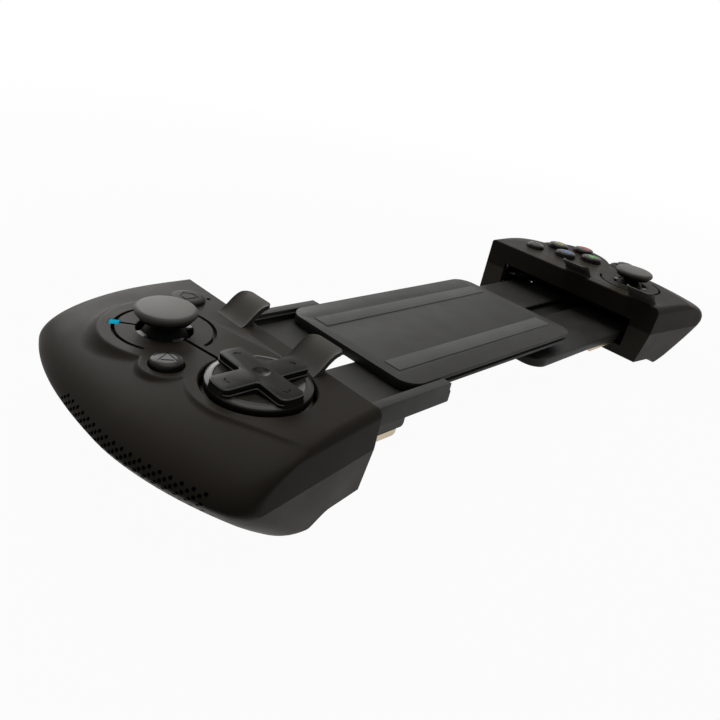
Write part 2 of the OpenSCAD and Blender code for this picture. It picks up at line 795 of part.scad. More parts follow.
// Stick base: plate on the board with two posts that carry the yoke's pins
module stick_base(u, y) {
    at(u, y, board_top) {
        at(-base_w / 2, -base_w / 2, 0) cube([base_w, base_w, base_t]);
        for (side = [-1, 1]) difference() {
            at(side > 0 ? post_in : -post_out, -post_w / 2, 0)
                cube([post_out - post_in, post_w, pivot_z - board_top + post_w / 2]);
            at(0, 0, pivot_z - board_top) rotate([0, 90, 0])
                cylinder(r = stick_pin_r + pin_gap, h = post_out * 3, center = true);
        }
    }
}

// Yoke: ring with two fixed pins along X and bores along Y for the post's pin
module stick_yoke(u, y) {
    at(u, y, pivot_z) difference() {
        union() {
            cylinder(r = yoke_out, h = yoke_t, center = true);
            rotate([0, 90, 0]) cylinder(r = stick_pin_r, h = post_out * 2 - pin_short, center = true);
        }
        cylinder(r = yoke_in, h = yoke_t * 2, center = true);
        rotate([90, 0, 0]) cylinder(r = stick_pin_r + pin_gap, h = yoke_out * 3, center = true);
    }
}

// Post: stem with a cross pin, and the round dome that closes the hole in the deck
module stick_post(u, y) {
    at(u, y, pivot_z) {
        at(0, 0, -stem_low) cylinder(r = stem_r, h = stem_high - pivot_z + stem_low);
        rotate([90, 0, 0]) cylinder(r = stick_pin_r, h = yoke_out * 2 - pin_short, center = true);
        difference() {
            sphere(r = dome_r);
            sphere(r = dome_r - dome_t);
            at(0, 0, dome_skirt - dome_r * 2) cylinder(r = dome_r * 2, h = dome_r * 2);
        }
    }
}

// Cap: rubber mushroom on the stem
module stick_cap(u, y) {
    top = deck_h + cap_top;
    bore = stem_r + pin_gap;
    roof = stem_high + pin_gap;
    at(u, y, 0) rotate_extrude() polygon([[bore, collar_z], [collar_r - collar_edge, collar_z],
        [collar_r, collar_z + collar_edge], [collar_r, top - cap_lip], [cap_r - cap_edge, top - cap_lip],
        [cap_r, top - cap_lip + cap_edge], [cap_r, top - cap_edge * 2], [cap_r - cap_edge, top - cap_edge],
        [cap_r * 0.6, top - cap_edge / 4], [0, top], [0, roof], [bore, roof]]);
}

module left_stick_base() color("#26282b") on_left() stick_base(stick_u, stick_y);
module left_stick_yoke() color("#8d8f91") on_left() stick_yoke(stick_u, stick_y);
module left_stick_post() color("#232322") on_left() stick_post(stick_u, stick_y);
module left_stick_cap() color("#4a4a47") on_left() stick_cap(stick_u, stick_y);
module right_stick_base() color("#26282b") on_right() stick_base(pad_u, pad_y);
module right_stick_yoke() color("#8d8f91") on_right() stick_yoke(pad_u, pad_y);
module right_stick_post() color("#232322") on_right() stick_post(pad_u, pad_y);
module right_stick_cap() color("#4a4a47") on_right() stick_cap(pad_u, pad_y);

module status_light() color("#1f8fae") on_left() light_place()
    at(light_gap - light_w / 2, light_gap - light_w / 2, deck_h - light_len)
        cube([light_w - light_gap * 2, light_w - light_gap * 2, light_len]);

// Pan-head screws driven from below through the rear cover into the front cover's bosses
module screws() {
    for (s = screw_spots) at(s[0], s[1], s[2]) {
        cylinder(r = screw_head_r, h = screw_head_t);
        cylinder(r = screw_r, h = screw_tip - s[2]);
    }
}

module left_screws() color("#7c7c7c") on_left() screws();
module right_screws() color("#7c7c7c") on_right() screws();

// Charging socket on the board's far tab
module charge_room() {
    at(charge_u - charge_w / 2 - charge_gap, grip_far - wall - 1, board_top - charge_gap)
        cube([charge_w + charge_gap * 2, wall + 2, charge_t + charge_gap * 2]);
}

module charge_socket() color("#9fa1a3") on_left() difference() {
    at(charge_u - charge_w / 2, grip_far - charge_gap - charge_len, board_top)
        cube([charge_w, charge_len, charge_t]);
    at(charge_u - charge_w / 2 + charge_wall, grip_far - charge_len + charge_back, board_top + charge_wall)
        cube([charge_w - charge_wall * 2, charge_len, charge_t - charge_wall * 2]);
}

// Shoulder bumper: cap in the far wall, kept in by a flange behind it
bumper_edge = 1.2;
module bumper() {
    tip = grip_far + bumper_reach;
    along_x(trigger_u, trigger_u + trigger_w) polygon([[bumper_back - 1, bumper_z],
        [tip - bumper_edge, bumper_z], [tip, bumper_z + bumper_edge], [tip, bumper_top - bumper_edge],
        [tip - bumper_edge, bumper_top], [bumper_back - 1, bumper_top]]);
    at(trigger_u - bumper_flange_out, bumper_back - bumper_flange_t, bumper_z - bumper_flange_out)
        cube([trigger_w + bumper_flange_out * 2, bumper_flange_t,
            bumper_top - bumper_z + bumper_flange_out * 2]);
}

module left_bumper() color("#1e1e1d") on_left() bumper();
module right_bumper() color("#1e1e1d") on_right() bumper();

// Shoulder trigger: curved finger plate that swings on an upright pin
module trigger() {
    back = hinge_y - trigger_back;
    lip = grip_far + trigger_reach;
    brow = trigger_reach - 1;
    drop = (trigger_top - trigger_z) * 2 / 3;
    difference() {
        union() {
            along_x(trigger_u, trigger_u + trigger_w) polygon([[back, trigger_z],
                [lip - trigger_edge, trigger_z], [lip, trigger_z + trigger_edge],
                [lip - brow / 12, trigger_top - drop * 0.8], [lip - brow * 0.4, trigger_top - drop / 3],
                [lip - brow, trigger_top], [back, trigger_top]]);
            at(hinge_u, hinge_y, trigger_z) cylinder(r = hinge_r, h = trigger_top - trigger_z);
        }
        hinge_bore();
    }
}

module left_trigger() color("#1e1e1d") on_left() trigger();
module right_trigger() color("#1e1e1d") on_right() trigger();

module trigger_pin() {
    at(hinge_u, hinge_y, ear_low) cylinder(r = hinge_pin_r, h = hinge_len);
}

module left_trigger_pin() color("#b9bcc0") on_left() trigger_pin();
module right_trigger_pin() color("#b9bcc0") on_right() trigger_pin();

// Two small switches behind the bumper and the trigger
module switches() {
    at(switch_u, switch_far - switch_len, board_top) cube([switch_w, switch_len, switch_t]);
    at(switch_u, switch_y, trigger_z + switch_lift) cube([switch_w, switch_t, switch_t]);
}

module left_switches() color("#5d6166") on_left() switches();
module right_switches() color("#5d6166") on_right() switches();

// Spider: ball with two crossed pins under the direction pad
module pad_spider() color("#8d8f91") on_left() at(pad_u, pad_y, rock_z) {
    sphere(r = spider_r);
    rotate([0, 90, 0]) cylinder(r = rock_pin_r, h = lug_out * 2 - pin_short, center = true);
    rotate([90, 0, 0]) cylinder(r = rock_pin_r, h = lug_out * 2 - pin_short, center = true);
}

// Direction pad: disc with a raised cross, carried by two lugs on the spider
pocket_top = deck_h + 0.4;
pad_edge = 0.9;
disc_sink = 0.4;
arm_taper = 0.8;
dimple_r = 5.2;
dimple_depth = 0.4;
module direction_pad() color("#171716") on_left() at(pad_u, pad_y, 0) {
    difference() {
        union() {
            rotate_extrude() polygon([[0, disc_z], [pad_r, disc_z], [pad_r, disc_rim - pad_edge],
                [pad_r - pad_edge, disc_rim], [0, disc_rim - disc_sink]]);
            intersection() {
                at(0, 0, deck_h) cylinder(r1 = pad_r, r2 = pad_r - arm_taper, h = pad_top);
                for (a = [0, 90]) rotate([0, 0, a])
                    at(-pad_r, -arm_w / 2, deck_h) cube([pad_r * 2, arm_w, pad_top]);
            }
        }
        at(0, 0, deck_h + pad_top + dimple_r - dimple_depth) sphere(r = dimple_r);
        at(0, 0, disc_z - 1) cylinder(r = pad_pocket_r, h = pocket_top - disc_z + 1);
    }
    for (side = [0, 1]) mirror([0, side, 0]) difference() {
        at(-lug_w / 2, lug_in, rock_z - lug_w / 2)
            cube([lug_w, lug_out - lug_in, pocket_top - rock_z + lug_w / 2 + disc_sink]);
        at(0, 0, rock_z) rotate([-90, 0, 0]) cylinder(r = rock_pin_r + pin_gap, h = lug_out + 1);
    }
}

// Round button with a domed top and a flange that keeps it under the deck
module button(u, y, r, top) {
    low = flange_top - flange_t;
    at(u, y, 0) rotate_extrude() polygon([[0, low], [r + flange_out, low], [r + flange_out, flange_top],
        [r, flange_top], [r, top - crown_h],
        [r - crown_w / 3, top - crown_h / 3], [r - crown_w, top], [0, top]]);
}

module back_button() color("#1b1b1a") on_left() button(small_u, small_y, button_r, small_top);
module home_button() color("#1b1b1a") on_left() button(home_u, home_y, home_r, home_top);
module start_button() color("#1b1b1a") on_right() button(start_u, start_y, button_r, small_top);
module menu_button() color("#1b1b1a") on_right() button(menu_u, menu_y, button_r, small_top);
module face_button(a) {
    button(face_u(a), face_y(a), face_r, face_top);
}

module far_button() color("#1b1b1a") on_right() face_button(90);
module outer_button() color("#1b1b1a") on_right() face_button(0);
module inner_button() color("#1b1b1a") on_right() face_button(180);
module near_button() color("#1b1b1a") on_right() face_button(270);

left_front_cover();
left_rear_cover();
left_tongue();
left_runners();
left_board();
left_membrane();
battery();
left_stick_base();
status_light();
left_screws();
left_trigger_pin();
left_switches();
charge_socket();
left_stick_yoke();
left_stick_post();
left_stick_cap();
pad_spider();
direction_pad();
back_button();
home_button();
left_bumper();
left_trigger();
bridge_plate();
bridge_keel();
bridge_pads();
right_slider();
right_runners();
right_front_cover();
right_rear_cover();
right_board();
right_membrane();
right_stick_base();
right_screws();
right_trigger_pin();
right_switches();
right_stick_yoke();
right_stick_post();
right_stick_cap();
start_button();
menu_button();
far_button();
outer_button();
inner_button();
near_button();
right_bumper();
right_trigger();
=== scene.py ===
import math
import bpy
import numpy as np
from mathutils import Matrix, Vector


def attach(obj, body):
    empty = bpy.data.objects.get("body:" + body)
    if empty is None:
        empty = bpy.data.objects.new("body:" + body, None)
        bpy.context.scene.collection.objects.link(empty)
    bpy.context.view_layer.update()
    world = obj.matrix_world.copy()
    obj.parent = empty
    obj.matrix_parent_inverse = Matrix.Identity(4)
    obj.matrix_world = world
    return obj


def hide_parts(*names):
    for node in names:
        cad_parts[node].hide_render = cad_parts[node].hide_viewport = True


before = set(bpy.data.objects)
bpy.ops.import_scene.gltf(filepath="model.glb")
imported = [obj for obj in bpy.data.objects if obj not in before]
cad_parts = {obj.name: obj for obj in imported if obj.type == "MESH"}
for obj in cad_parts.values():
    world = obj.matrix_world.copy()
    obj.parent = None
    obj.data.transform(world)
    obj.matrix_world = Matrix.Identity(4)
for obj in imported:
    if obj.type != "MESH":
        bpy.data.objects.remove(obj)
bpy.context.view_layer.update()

# ---- Boards and small inner parts --------------------------------------------------------------
# Circuit boards, rubber sheets, the cell, switches and screws that sit inside the two grips.
# They are glass fibre, silicone, foil and steel, and are screwed or pressed in before the shells close.


def fine_grain():
    """Speckle is the fine texture of a surface, Cloud its slow change from place to place."""
    group = bpy.data.node_groups.new("fine_grain", "ShaderNodeTree")
    size = group.interface.new_socket("Scale", in_out="INPUT", socket_type="NodeSocketFloat")
    size.default_value = 2500
    for label in ("Speckle", "Cloud"):
        group.interface.new_socket(label, in_out="OUTPUT", socket_type="NodeSocketFloat")
    nodes, link = group.nodes, group.links.new
    given, out = nodes.new("NodeGroupInput"), nodes.new("NodeGroupOutput")
    place = nodes.new("ShaderNodeTexCoord")
    speckle, cloud = nodes.new("ShaderNodeTexNoise"), nodes.new("ShaderNodeTexNoise")
    slower = nodes.new("ShaderNodeMath")
    slower.operation, slower.inputs[1].default_value = "MULTIPLY", 0.03
    link(given.outputs["Scale"], speckle.inputs["Scale"])
    link(given.outputs["Scale"], slower.inputs[0])
    link(slower.outputs[0], cloud.inputs["Scale"])
    for texture, label in ((speckle, "Speckle"), (cloud, "Cloud")):
        texture.inputs["Detail"].default_value = 3
        link(place.outputs["Object"], texture.inputs["Vector"])
        link(texture.outputs["Fac"], out.inputs[label])
    return group


GRAIN = fine_grain()


def surface(name, dark, light, rough, spread=0.06, scale=2500, bump=0.15, metallic=0.0,
            specular=0.4):
    """A material whose colour, gloss and relief follow the grain."""
    material = bpy.data.materials.new(name)
    material.use_nodes = True
    nodes, link = material.node_tree.nodes, material.node_tree.links.new
    shader = nodes["Principled BSDF"]
    grain = nodes.new("ShaderNodeGroup")
    grain.node_tree = GRAIN
    grain.inputs["Scale"].default_value = scale
    blend = nodes.new("ShaderNodeMath")
    blend.operation = "MULTIPLY_ADD"
    blend.inputs[1].default_value = 0.45
    half = nodes.new("ShaderNodeMath")
    half.operation, half.inputs[1].default_value = "MULTIPLY", 0.55
    link(grain.outputs["Cloud"], half.inputs[0])
    link(grain.outputs["Speckle"], blend.inputs[0])
    link(half.outputs[0], blend.inputs[2])
    tint = nodes.new("ShaderNodeMix")
    tint.data_type = "RGBA"
    tint.inputs["A"].default_value = (*dark, 1)
    tint.inputs["B"].default_value = (*light, 1)
    link(blend.outputs[0], tint.inputs["Factor"])
    link(tint.outputs["Result"], shader.inputs["Base Color"])
    gloss = nodes.new("ShaderNodeMapRange")
    gloss.inputs["From Min"].default_value, gloss.inputs["From Max"].default_value = 0.3, 0.7
    gloss.inputs["To Min"].default_value = rough - spread
    gloss.inputs["To Max"].default_value = rough + spread
    link(grain.outputs["Cloud"], gloss.inputs["Value"])
    link(gloss.outputs["Result"], shader.inputs["Roughness"])
    relief = nodes.new("ShaderNodeBump")
    relief.inputs["Strength"].default_value = bump
    relief.inputs["Distance"].default_value = 0.0001
    link(grain.outputs["Speckle"], relief.inputs["Height"])
    link(relief.outputs["Normal"], shader.inputs["Normal"])
    shader.inputs["Metallic"].default_value = metallic
    shader.inputs["Specular IOR Level"].default_value = specular
    return material


def paint(node, material):
    """Gives a solid that stays in view its material."""
    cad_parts[node].data.materials.clear()
    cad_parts[node].data.materials.append(material)


board_green = surface("board_green", (0.004, 0.035, 0.014), (0.012, 0.085, 0.035), 0.35, scale=900, bump=0.1)
silicone = surface("grey_silicone", (0.13, 0.125, 0.12), (0.19, 0.185, 0.175), 0.62, scale=1800)
cell_wrap = surface("cell_wrap", (0.03, 0.09, 0.17), (0.06, 0.15, 0.26), 0.4, scale=700, bump=0.1)
inner_black = surface("inner_black", (0.012, 0.012, 0.013), (0.022, 0.022, 0.023), 0.5)
bare_steel = surface("bare_steel", (0.42, 0.42, 0.41), (0.58, 0.57, 0.56), 0.3, scale=1500, bump=0.05,
                     metallic=1.0)
switch_grey = surface("switch_grey", (0.06, 0.065, 0.07), (0.11, 0.115, 0.12), 0.45, scale=1600)
for side in ("left", "right"):
    paint(side + "_board", board_green)
    paint(side + "_membrane", silicone)
    paint(side + "_stick_base", inner_black)
    paint(side + "_stick_yoke", bare_steel)
    paint(side + "_screws", bare_steel)
    paint(side + "_trigger_pin", bare_steel)
    paint(side + "_switches", switch_grey)
paint("battery", cell_wrap)
paint("charge_socket", bare_steel)
paint("pad_spider", bare_steel)

# ---- Telescopic bridge -------------------------------------------------------------------------
# Three flat sliding plates of black glass-filled nylon, one above the other, with a keel under the
# middle one and rubber strips on it. Their edges are broken so that they run without catching.


def softened(node, width, segments=2):
    """A copy of a solid with its loose triangles joined and its sharp edges rounded."""
    bpy.ops.object.select_all(action="DESELECT")
    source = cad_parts[node]
    copy = source.copy()
    copy.data = source.data.copy()
    copy.parent = None
    for key in [k for k in copy.keys() if k.startswith("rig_")]:
        del copy[key]
    bpy.context.scene.collection.objects.link(copy)
    copy.name = copy.data.name = node + "_rounded"
    bpy.context.view_layer.objects.active = copy
    copy.select_set(True)
    bpy.ops.object.mode_set(mode="EDIT")
    bpy.ops.mesh.select_all(action="SELECT")
    bpy.ops.mesh.remove_doubles(threshold=1e-6)
    bpy.ops.mesh.dissolve_limited(angle_limit=math.radians(1))
    bpy.ops.mesh.normals_make_consistent(inside=False)
    bpy.ops.object.mode_set(mode="OBJECT")
    round_edges(copy, width, segments)
    return copy


def round_edges(piece, width, segments=2, angle=35):
    """Rounds the edges that turn by more than the angle."""
    bevel = piece.modifiers.new("rounding", "BEVEL")
    bevel.width, bevel.segments = width * MM, segments
    bevel.limit_method, bevel.angle_limit = "ANGLE", math.radians(angle)
    bevel.use_clamp_overlap = True
    bpy.context.view_layer.objects.active = piece
    bpy.ops.object.modifier_apply(modifier=bevel.name)


def dress(piece, body, material, slot, *nodes, angle=32):
    """Smooths a finished piece, gives it its material and puts it on its body."""
    bpy.ops.object.select_all(action="DESELECT")
    piece.select_set(True)
    bpy.context.view_layer.objects.active = piece
    bpy.ops.object.shade_smooth_by_angle(angle=math.radians(angle))
    if material:
        piece.data.materials.clear()
        piece.data.materials.append(material)
    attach(piece, body)
    if nodes:
        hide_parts(*nodes)
    return piece


MM = 0.001
plate_black = surface("plate_black", (0.014, 0.0134, 0.0122), (0.026, 0.0252, 0.0232), 0.48, scale=3000,
                      bump=0.2, specular=0.14)
strip_rubber = surface("strip_rubber", (0.03, 0.03, 0.028), (0.05, 0.049, 0.046), 0.75, scale=2200, bump=0.3)
dress(softened("left_tongue", 0.35), "left_grip", plate_black, "plate", "left_tongue")
dress(softened("bridge_plate", 0.35), "bridge_center", plate_black, "plate", "bridge_plate")
dress(softened("bridge_keel", 0.2), "bridge_center", plate_black, "plate", "bridge_keel")
dress(softened("right_slider", 0.35), "right_slider", plate_black, "plate", "right_slider")
dress(softened("bridge_pads", 0.15), "bridge_center", strip_rubber, "grip_strip", "bridge_pads")

# ---- Steel runners -----------------------------------------------------------------------------
# Strips of drawn steel with a warm nickel finish that stiffen the slide on both sides.
# They are cut from bar, so fine lines run along them.


def drawn_lines(material, stretch):
    """Turns a material's grain into fine lines along x."""
    nodes, link = material.node_tree.nodes, material.node_tree.links.new
    place, turn = nodes.new("ShaderNodeTexCoord"), nodes.new("ShaderNodeMapping")
    lines = nodes.new("ShaderNodeTexNoise")
    turn.inputs["Scale"].default_value = (1 / stretch, 1, 1)
    lines.inputs["Scale"].default_value = 4000
    lines.inputs["Detail"].default_value = 4
    link(place.outputs["Object"], turn.inputs["Vector"])
    link(turn.outputs["Vector"], lines.inputs["Vector"])
    bump = [n for n in nodes if n.type == "BUMP"][0]
    tint = [n for n in nodes if n.type == "MIX"][0]
    link(lines.outputs["Fac"], bump.inputs["Height"])
    link(lines.outputs["Fac"], tint.inputs["Factor"])


runner_steel = surface("runner_steel", (0.45, 0.37, 0.25), (0.62, 0.53, 0.38), 0.3, metallic=1.0, bump=0.1)
drawn_lines(runner_steel, 60)
dress(softened("left_runners", 0.15), "left_grip", runner_steel, "runner", "left_runners")
dress(softened("right_runners", 0.15), "right_slider", runner_steel, "runner", "right_runners")

# ---- Grip shells -------------------------------------------------------------------------------
# Each grip is a front cover with the control deck and a rear hull, moulded in black plastic with a
# matt soft coat and screwed together from below. The deck falls over a wide rounded shoulder, and
# round platforms stand out of it. Rows of small pits on the outer wall give the fingers hold.

# Inner face of a grip from the middle, ends and width of a grip, all in millimetres
G, END, WIDTH, SKIN = 77.7, 39.4, 52.29, 2.0
# Heights of the deck, of the widest line and of the seam between the covers
DECK, WIDE, SEAM = 26.5, 17.7, 16.0
# Width of the shoulder, how far the hull draws in below, and the radius at the foot
SHOULDER, TUCK, FOOT = 26.1, 19.3, 3.0
# The outer wall is a pair of superellipses about MIDDLE, each with its power and its reach along y
MIDDLE, FAR_CURVE, NEAR_CURVE = -9.4, (2.39, 71.2), (1.72, 67.8)
SLANT_ANGLE = math.radians(8)
SLANT = math.tan(SLANT_ANGLE)
# Places (u, y) of the controls on the left and then on the right grip
STICK, PAD, SMALL, HOME = (23.3, 13.3), (18.5, -18.1), (32.1, -2.2), (8.8, 26.3)
FACES, START, MENU = (27.4, 13.5), (39.4, -6.0), (13.8, 25.9)


def wrapped(name, rings):
    """A closed solid through rings of points in millimetres: a grid that is wrapped round and capped."""
    rings = np.asarray(rings, float) * MM
    rows, columns = rings.shape[:2]
    bpy.ops.object.select_all(action="DESELECT")
    bpy.ops.mesh.primitive_grid_add(x_subdivisions=columns, y_subdivisions=rows - 1, size=1)
    piece = bpy.context.object
    piece.name = piece.data.name = name
    around = np.concatenate([rings, rings[:, :1]], axis=1)
    piece.data.vertices.foreach_set("co", around.reshape(-1))
    bpy.ops.object.mode_set(mode="EDIT")
    bpy.ops.mesh.select_all(action="SELECT")
    bpy.ops.mesh.remove_doubles(threshold=2e-7)
    bpy.ops.mesh.fill_holes(sides=0)
    bpy.ops.mesh.select_all(action="SELECT")
    bpy.ops.mesh.normals_make_consistent(inside=False)
    bpy.ops.object.mode_set(mode="OBJECT")
    return piece


def combine(piece, cutter, how="DIFFERENCE", crossing=False):
    """Cuts the second piece from the first, or joins it, and removes it. Its material stays on its faces."""
    change = piece.modifiers.new("change", "BOOLEAN")
    change.object, change.operation, change.solver, change.use_self = cutter, how, "EXACT", crossing
    change.material_mode = "TRANSFER"
    bpy.ops.object.select_all(action="DESELECT")
    bpy.context.view_layer.objects.active = piece
    bpy.ops.object.modifier_apply(modifier=change.name)
    bpy.data.objects.remove(cutter)


def as_one(pieces):
    """Joins separate pieces into one object."""
    bpy.ops.object.select_all(action="DESELECT")
    for piece in pieces:
        piece.select_set(True)
    bpy.context.view_layer.objects.active = pieces[0]
    bpy.ops.object.join()
    return bpy.context.object


def bow(y, d):
    """Outer wall's distance from the inner face at y, for a wall drawn in by d."""
    far = y > MIDDLE
    n = np.where(far, FAR_CURVE[0], NEAR_CURVE[0])
    part = np.minimum(1, np.abs(y - MIDDLE) / (np.where(far, FAR_CURVE[1], NEAR_CURVE[1]) - d))
    return np.maximum(5, (WIDTH - d) * (1 - part**n) ** (1 / n))


def rolled(z, r):
    """How far a top edge of radius r has drawn in at height z."""
    return r - math.sqrt(max(0, r * r - (z - DECK + r) ** 2)) if z > DECK - r else 0


def drawn_in(z, w):
    """How far the outer wall has drawn in at height z, above and below its widest line."""
    if z >= WIDE:
        rise = min(1, (z - WIDE) / (DECK - (2.2 if w >= 1 else 0) - WIDE))
        return w + SHOULDER * (1 - math.sqrt(1 - rise * rise))
    foot = FOOT - math.sqrt(FOOT**2 - (FOOT - max(z, 0)) ** 2) if z < FOOT and w < 1 else 0
    return w + TUCK * ((WIDE - z) / WIDE) ** 1.25 + foot


def near_end(u, z, w):
    """Place along y of the slanting near end face."""
    return max(0, SEAM - z) * SLANT + (rolled(z, 2.5) if w < 1 else 0) - (END - w) - u * SLANT


def bend(a, c, b, count):
    """A rounded corner from a to b, with its sharp point at c."""
    t = np.linspace(0, 1, count)[:, None]
    return (1 - t) ** 2 * np.array(a) + 2 * t * (1 - t) * np.array(c) + t * t * np.array(b)


def shell_ring(z, w):
    """Outline of a grip at height z, for a skin w inside the outer one, as points (u, y, z)."""
    d = drawn_in(z, w)
    y = -END
    for _ in range(8):
        y = near_end(float(bow(np.array(y), d)), z, w)
    near = (float(bow(np.array(y), d)), y)
    trim = max(1, 5.05 - w)
    near_a = (near[0] - trim * math.cos(SLANT_ANGLE), near[1] + trim * math.sin(SLANT_ANGLE))
    start = near[1] + trim
    far_y = END - w - (rolled(z, 1.2) if w < 1 else 0)
    far_u = float(bow(np.array(far_y), d))
    trim = min(4.5 - w, far_u / 2)
    end = far_y - trim
    inner = w + (rolled(z, 0.6) if w < 1 else 0)
    ys = np.linspace(start, end, 220)
    curve = np.stack([bow(ys, d), ys], 1)
    points = np.concatenate([
        np.linspace((inner, near_end(inner, z, w)), near_a, 30)[:-1],
        bend(near_a, near, curve[0], 9), curve[1:-1],
        bend(curve[-1], (far_u, far_y), (far_u - trim, far_y), 13),
        np.linspace((far_u - trim, far_y), (inner, far_y), 16)[1:]])
    return np.column_stack([points, np.full(len(points), z)])


def fall(x, slope, soft=0.3):
    """Drop of a platform's flank at distance x outside its edge, with the edge itself softened."""
    return np.where(x < -soft, 0, np.where(x > soft, slope * x, slope * (x + soft) ** 2 / (4 * soft)))


def with_platforms(ring, side):
    """Raises the shoulder to the round platforms, with a hollow fillet at their feet."""
    u, y, z = ring[:, 0], ring[:, 1], ring[:, 2]
    middle, isle, slope = (FACES, START, 1.7) if side > 0 else (STICK, SMALL, 0.95)
    stick = np.hypot(u - middle[0], y - middle[1]) - 15.5
    island = np.hypot(u - isle[0], y - isle[1]) - 6.0
    pad = np.hypot(u - PAD[0], y - PAD[1]) - 15.8
    lean = math.radians(-26.4)
    along = (u - PAD[0]) * math.sin(lean) - (y - PAD[1]) * math.cos(lean)
    past = (u - PAD[0]) * math.cos(lean) + (y - PAD[1]) * math.sin(lean) - 15.8
    pad = np.where(along > 0, past, pad)
    weight = np.ones(len(u))
    near_bend, far_bend = slice(29, 38), slice(256, 269)
    weight[:29], weight[near_bend] = 0, np.linspace(0, 1, 9)
    weight[far_bend], weight[269:] = np.linspace(1, 0, 13), 0
    height = z.copy()
    for x, steep in ((stick, slope), (pad, 1.3), (island, 1.7)):
        top = DECK - fall(x, steep)
        near = np.maximum(0, 1.2 - np.abs(height - top)) / 1.2
        height = np.minimum(DECK, np.maximum(height, top) + near * near * 1.2 / 4)
    lifted = ring.copy()
    lifted[:, 2] = z + weight * (height - z)
    return lifted


def placed(ring, side):
    """Points (u, y, z) of a grip, u from its inner face outwards, in the frame of the part."""
    ring = np.asarray(ring, float)
    return np.column_stack([side * (G + ring[:, 0]), ring[:, 1], ring[:, 2]])


def turned(name, profile, u, y, side, steps=72):
    """A solid turned from a profile of (radius, height), from one end of its axis to the other."""
    angles = np.arange(steps) * 2 * math.pi / steps
    rings = [[(side * (G + u) + r * math.cos(a), y + r * math.sin(a), z) for a in angles] for r, z in profile]
    return wrapped(name, rings)


def prism(name, outline, low, high, side):
    """An upright solid over an outline of (u, y)."""
    return wrapped(name, [placed([(u, y, z) for u, y in outline], side) for z in (low, high)])


def hole(name, centre, r, side, low=20.0, chamfer=0.2):
    """Cutter for a round hole in the deck with a broken edge."""
    return turned(name, [(0, low), (r, low), (r, DECK - chamfer), (r + chamfer + 0.5, DECK + 0.5),
                         (0, DECK + 0.5)], *centre, side)


def groove(name, centre, r, start, stop, side):
    """Cutter for a ring groove between two angles."""
    rings = []
    for angle in np.radians(np.linspace(start, stop, max(4, int((stop - start) / 2.5)))):
        section = [(-0.42, -1.4), (0.42, -1.4), (0.44, -0.06), (0.64, 0.3), (-0.64, 0.3), (-0.44, -0.06)]
        rings.append(placed([(centre[0] + (r + x) * math.cos(angle), centre[1] + (r + x) * math.sin(angle),
                              DECK + z) for x, z in section], side))
    return wrapped(name, rings)


def bar(name, a, b, width, low, high, side):
    """Cutter along a straight line from a to b."""
    a, b = np.array(a, float), np.array(b, float)
    across = np.array([-(b - a)[1], (b - a)[0]]) / np.linalg.norm(b - a) * width / 2
    return prism(name, [a - across, b - across, b + across, a + across], low, high, side)


def box_cut(name, low, high, side):
    """Cutter for a box between two corners (u, y, z)."""
    outline = [(low[0], low[1]), (high[0], low[1]), (high[0], high[1]), (low[0], high[1])]
    return prism(name, outline, low[2], high[2], side)


def clip(name, y, side):
    """A lip that rises in an S over the edge of what is clamped, with rounded tip corners."""
    s = np.linspace(0, 1, 33)
    lift = 4.9 * (1 - np.cos(np.pi * s**0.85)) / 2
    rows = []
    for e in np.concatenate([np.linspace(0, 2, 9), np.linspace(2, 8.6, 6)[1:-1], np.linspace(8.6, 10.6, 9)]):
        inset = min(e, 10.6 - e)
        back = 2 - math.sqrt(max(0, 4 - (2 - inset) ** 2)) if inset < 2 else 0
        x = 5.5 - (9.7 - back) * s
        thick = 1.1 * (1 + 1.2 * (1 - s))
        top = np.column_stack([x, np.full(33, y + e), DECK + lift])
        under = np.column_stack([x, np.full(33, y + e), DECK + lift - thick])[::-1]
        foot = [(0.2, y + e, DECK - 1.5), (5.5, y + e, DECK - 1.5)]
        rows.append(placed(np.concatenate([top, under[:18], foot]), side))
    piece = wrapped(name, rows)
    piece.data.materials.append(clip_black)
    round_edges(piece, 0.25, 2, 50)
    return piece


def pits(rows, side):
    """Cutters for rows of small round pits, each one square to the outer wall. Their faces leave a near-black
    painted shade on the pits' insides.
    """
    bpy.ops.object.select_all(action="DESELECT")
    bpy.ops.mesh.primitive_cylinder_add(vertices=12, radius=0.47 * MM, depth=1.1 * MM)
    model = bpy.context.object
    model.data.materials.append(pit_painted_shade)
    copies = [model]
    for row, z in rows:
        for y in np.arange(-37.5, 6.5, 2.46) + row * 0.86 % 2.46:
            def wall(y, z):
                return np.array([float(bow(np.array(y), drawn_in(z, 0))), y, z])
            out = np.cross(wall(y + 0.1, z) - wall(y, z), wall(y, z + 0.1) - wall(y, z))
            pit = model.copy()
            pit.data = model.data.copy()
            bpy.context.scene.collection.objects.link(pit)
            turn = Vector((side * out[0], out[1], out[2])).to_track_quat("Z", "Y").to_matrix().to_4x4()
            pit.matrix_world = Matrix.Translation(Vector(placed([wall(y, z)], side)[0]) * MM) @ turn
            copies.append(pit)
    bpy.data.objects.remove(copies.pop(0))
    bpy.ops.object.select_all(action="DESELECT")
    cutter = as_one(copies)
    bpy.ops.object.transform_apply(location=True, rotation=True, scale=True)
    return cutter


soft_touch = surface("soft_touch_black", (0.0162, 0.0139, 0.0103), (0.0234, 0.0202, 0.0150), 0.42, 0.04, 3200,
                     0.12, specular=0.03)
clip_black = surface("clip_black", (0.046, 0.0425, 0.036), (0.058, 0.0538, 0.046), 0.5, 0.05, 3200, 0.12,
                     specular=0.06)
hull_black = surface("hull_black", (0.018, 0.0152, 0.0109), (0.025, 0.0211, 0.0151), 0.5, 0.05, 2600, 0.14,
                     specular=0.1)
# Light grey for the stick tabs: a painted highlight of the light their small faces catch.
tab_painted_highlight = surface("tab_painted_highlight", (0.15, 0.148, 0.142), (0.22, 0.217, 0.21), 0.4, specular=0.2)
# Near black that the pit cutters leave inside the pits: painted shade in the hollows.
pit_painted_shade = surface("pit_painted_shade", (0.002, 0.002, 0.002), (0.004, 0.004, 0.004), 0.8, specular=0.05)


